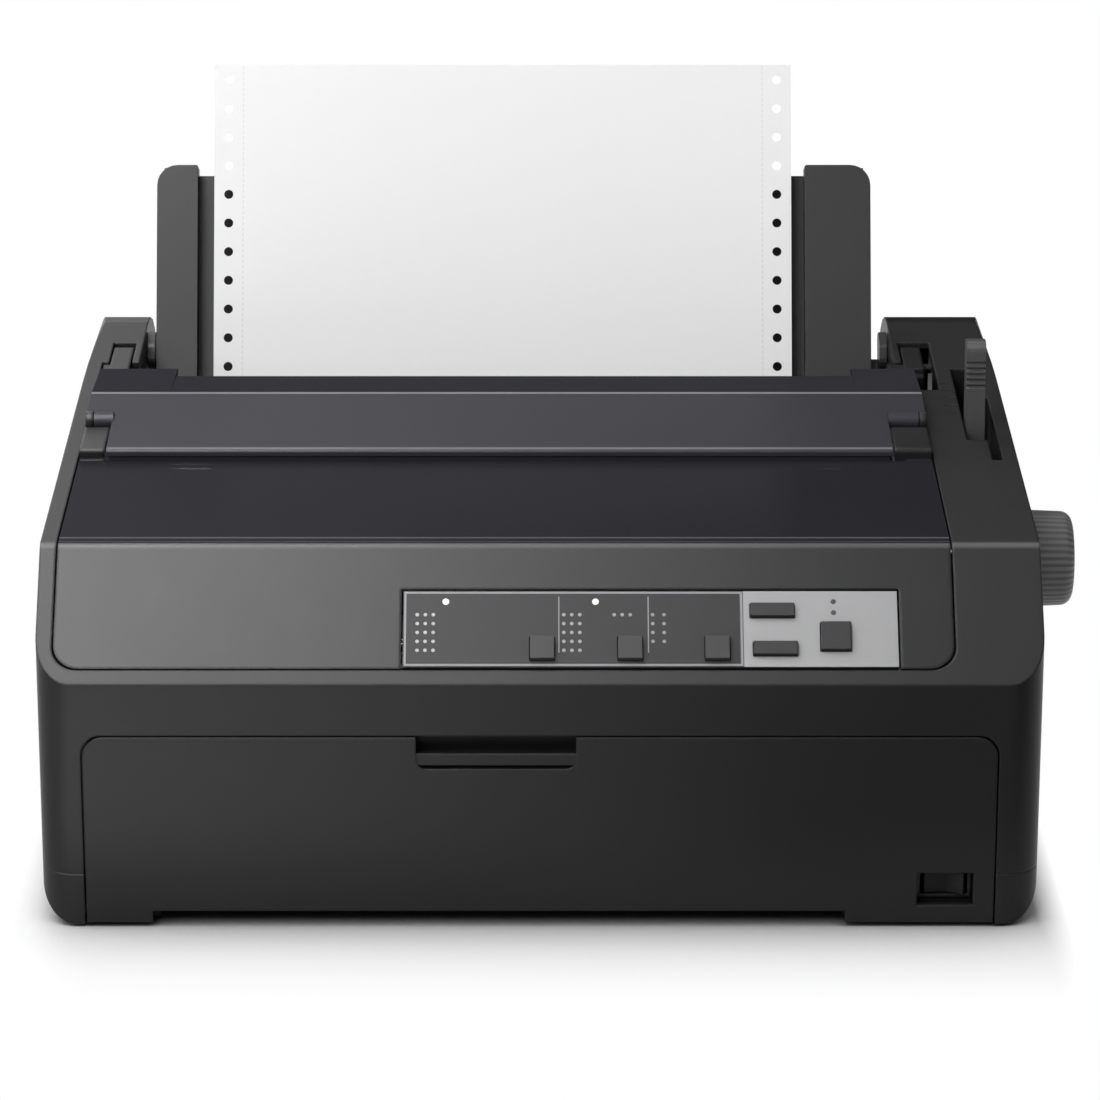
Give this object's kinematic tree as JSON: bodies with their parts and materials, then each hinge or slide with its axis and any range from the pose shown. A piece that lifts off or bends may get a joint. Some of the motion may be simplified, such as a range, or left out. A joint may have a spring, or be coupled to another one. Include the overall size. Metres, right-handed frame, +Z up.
{
  "type": "dot matrix printer",
  "caption": "Desktop dot matrix printer with hinged covers, sloping control panel, platen knob, release lever and upright sheet guide with continuous paper.",
  "frame": {"origin": "middle of the footprint's bounding box, on the table", "axes": "+X across the machine towards the platen knob, +Y from the front face to the rear, +Z up"},
  "size_m": [0.42, 0.35, 0.274],
  "materials": {
    "case_plastic": "fine spark texture",
    "cover_plastic": "fine spark texture",
    "smoked_window": "smooth smoked, dark",
    "smoked_cover": "smooth smoked",
    "guide_plastic": "satin",
    "knob_plastic": "satin",
    "button_plastic": "satin",
    "panel_plastic": "satin film",
    "lamp_plastic": "clear",
    "gear_plastic": "natural",
    "dark_plastic": "satin",
    "foot_rubber": "matte",
    "platen_rubber": "ground",
    "sheet_steel": "zinc plated",
    "bright_steel": "ground",
    "motor_steel": "satin",
    "brass": "machined",
    "belt_rubber": "matte",
    "board": "solder mask",
    "paper": "uncoated",
    "ribbon_cloth": "inked"
  },
  "bodies": {
    "case": {"lower_case": "case_plastic", "upper_case": "case_plastic", "rubber_feet": "foot_rubber", "base_frame": "sheet_steel", "left_side_frame": "sheet_steel", "right_side_frame": "sheet_steel", "frame_stay": "sheet_steel", "continuous_paper": "paper", "platen_bushes": "gear_plastic", "idler_stud": "bright_steel", "tractor_guide_shaft": "bright_steel", "feed_motor": "motor_steel", "carriage_shaft": "bright_steel", "carriage_rail": "sheet_steel", "ribbon_cartridge": "dark_plastic", "ribbon_band": "ribbon_cloth", "carriage_motor": "motor_steel", "belt_post": "bright_steel", "drive_belt": "belt_rubber", "control_panel": "panel_plastic", "control_board": "board", "status_lamps": "lamp_plastic", "power_switch_body": "dark_plastic", "main_board": "board", "power_supply": "sheet_steel", "rear_connectors": "dark_plastic", "case_screws": "bright_steel"},
    "printer_cover": {"printer_cover": "cover_plastic", "cover_window": "smoked_window"},
    "eject_cover": {"eject_cover": "smoked_cover"},
    "front_cover": {"front_cover": "case_plastic"},
    "paper_guide": {"paper_guide": "guide_plastic"},
    "left_edge_guide": {"left_edge_guide": "guide_plastic"},
    "right_edge_guide": {"right_edge_guide": "guide_plastic"},
    "platen": {"platen_roller": "platen_rubber", "platen_shaft": "bright_steel", "platen_gear": "gear_plastic", "platen_knob": "knob_plastic"},
    "idler": {"idler_gear": "gear_plastic"},
    "tractor_drive": {"tractor_gear": "gear_plastic", "tractor_drive_shaft": "bright_steel"},
    "left_tractor": {"left_tractor": "dark_plastic"},
    "right_tractor": {"right_tractor": "dark_plastic"},
    "left_sprocket": {"left_sprocket": "dark_plastic"},
    "right_sprocket": {"right_sprocket": "dark_plastic"},
    "feed_pinion": {"feed_pinion": "brass"},
    "carriage": {"carriage": "dark_plastic", "print_head": "motor_steel"},
    "belt_pulley": {"belt_pulley": "brass"},
    "belt_idler": {"belt_idler": "brass"},
    "ribbon_knob": {"ribbon_knob": "dark_plastic"},
    "left_key": {"left_key": "button_plastic"},
    "middle_key": {"middle_key": "button_plastic"},
    "right_key": {"right_key": "button_plastic"},
    "load_button": {"load_button": "button_plastic"},
    "line_button": {"line_button": "button_plastic"},
    "pause_button": {"pause_button": "button_plastic"},
    "power_rocker": {"power_rocker": "dark_plastic"},
    "release_lever": {"release_lever": "knob_plastic"}
  },
  "joints": [
    {"name": "printer_cover_hinge", "type": "hinge", "parent": "case", "child": "printer_cover", "pos_m": [-0.015, 0.087, 0.1545], "axis": [-1, 0, 0], "range_deg": [0, 70]},
    {"name": "eject_cover_hinge", "type": "hinge", "parent": "printer_cover", "child": "eject_cover", "pos_m": [-0.015, -0.01, 0.1586], "axis": [1, 0, 0], "range_deg": [0, 60]},
    {"name": "front_cover_hinge", "type": "hinge", "parent": "case", "child": "front_cover", "pos_m": [-0.015, -0.1713, 0.0066], "axis": [1, 0, 0], "range_deg": [0, 88]},
    {"name": "paper_guide_tilt", "type": "hinge", "parent": "case", "child": "paper_guide", "pos_m": [-0.015, 0.117, 0.151], "axis": [-1, 0, 0], "range_deg": [0, 50]},
    {"name": "left_edge_guide_slide", "type": "slide", "parent": "paper_guide", "child": "left_edge_guide", "axis": [1, 0, 0], "range_m": [0, 0.006]},
    {"name": "right_edge_guide_slide", "type": "slide", "parent": "paper_guide", "child": "right_edge_guide", "axis": [-1, 0, 0], "range_m": [0, 0.006]},
    {"name": "platen_spin", "type": "hinge", "parent": "case", "child": "platen", "pos_m": [-0.0314, 0.015, 0.091], "axis": [1, 0, 0], "continuous": true},
    {"name": "idler_spin", "type": "hinge", "parent": "case", "child": "idler", "pos_m": [-0.188, 0.06957, 0.09784], "axis": [1, 0, 0], "continuous": true},
    {"name": "tractor_spin", "type": "hinge", "parent": "case", "child": "tractor_drive", "pos_m": [-0.0314, 0.11266, 0.12321], "axis": [1, 0, 0], "continuous": true},
    {"name": "feed_pinion_spin", "type": "hinge", "parent": "case", "child": "feed_pinion", "pos_m": [-0.188, 0.07402, 0.05557], "axis": [1, 0, 0], "continuous": true},
    {"name": "left_tractor_slide", "type": "slide", "parent": "case", "child": "left_tractor", "axis": [-1, 0, 0], "range_m": [0, 0.012]},
    {"name": "right_tractor_slide", "type": "slide", "parent": "case", "child": "right_tractor", "axis": [1, 0, 0], "range_m": [0, 0.012]},
    {"name": "left_sprocket_spin", "type": "hinge", "parent": "left_tractor", "child": "left_sprocket", "pos_m": [-0.15205, 0.11266, 0.12321], "axis": [1, 0, 0], "continuous": true},
    {"name": "right_sprocket_spin", "type": "hinge", "parent": "right_tractor", "child": "right_sprocket", "pos_m": [0.08925, 0.11266, 0.12321], "axis": [1, 0, 0], "continuous": true},
    {"name": "carriage_slide", "type": "slide", "parent": "case", "child": "carriage", "axis": [1, 0, 0], "range_m": [0, 0.224]},
    {"name": "belt_pulley_spin", "type": "hinge", "parent": "case", "child": "belt_pulley", "pos_m": [0.1016, -0.079, 0.054], "axis": [0, 0, 1], "range_deg": [-1700, 1700]},
    {"name": "belt_idler_spin", "type": "hinge", "parent": "case", "child": "belt_idler", "pos_m": [-0.1654, -0.079, 0.054], "axis": [0, 0, 1], "range_deg": [-1700, 1700]},
    {"name": "ribbon_knob_spin", "type": "hinge", "parent": "case", "child": "ribbon_knob", "pos_m": [0.0586, -0.093, 0.12], "axis": [0, 0, 1], "continuous": true},
    {"name": "left_key_press", "type": "slide", "parent": "case", "child": "left_key", "axis": [0, 0.7437, -0.6685], "range_m": [0, 0.0008], "stiffness_N_per_m": 400, "springref_m": -0.0004},
    {"name": "middle_key_press", "type": "slide", "parent": "case", "child": "middle_key", "axis": [0, 0.7437, -0.6685], "range_m": [0, 0.0008], "stiffness_N_per_m": 400, "springref_m": -0.0004},
    {"name": "right_key_press", "type": "slide", "parent": "case", "child": "right_key", "axis": [0, 0.7437, -0.6685], "range_m": [0, 0.0008], "stiffness_N_per_m": 400, "springref_m": -0.0004},
    {"name": "load_button_press", "type": "slide", "parent": "case", "child": "load_button", "axis": [0, 0.7437, -0.6685], "range_m": [0, 0.0008], "stiffness_N_per_m": 400, "springref_m": -0.0004},
    {"name": "line_button_press", "type": "slide", "parent": "case", "child": "line_button", "axis": [0, 0.7437, -0.6685], "range_m": [0, 0.0008], "stiffness_N_per_m": 400, "springref_m": -0.0004},
    {"name": "pause_button_press", "type": "slide", "parent": "case", "child": "pause_button", "axis": [0, 0.7437, -0.6685], "range_m": [0, 0.0008], "stiffness_N_per_m": 400, "springref_m": -0.0004},
    {"name": "power_rocker_tilt", "type": "hinge", "parent": "case", "child": "power_rocker", "pos_m": [0.143, -0.1638, 0.0158], "axis": [0, 0, 1], "range_deg": [0, 14]},
    {"name": "release_lever_turn", "type": "hinge", "parent": "case", "child": "release_lever", "pos_m": [0.166, -0.003, 0.106], "axis": [1, 0, 0], "range_deg": [-35, 8]}
  ],
  "couplings": [
    {"joint": "idler_spin", "follows": "platen_spin", "ratio": -0.57143},
    {"joint": "tractor_spin", "follows": "platen_spin", "ratio": 1.3333},
    {"joint": "feed_pinion_spin", "follows": "platen_spin", "ratio": 2.6667},
    {"joint": "left_sprocket_spin", "follows": "platen_spin", "ratio": 1.3333},
    {"joint": "right_sprocket_spin", "follows": "platen_spin", "ratio": 1.3333},
    {"joint": "belt_pulley_spin", "follows": "carriage_slide", "rad_per_m": -125},
    {"joint": "belt_idler_spin", "follows": "carriage_slide", "rad_per_m": -125}
  ]
}
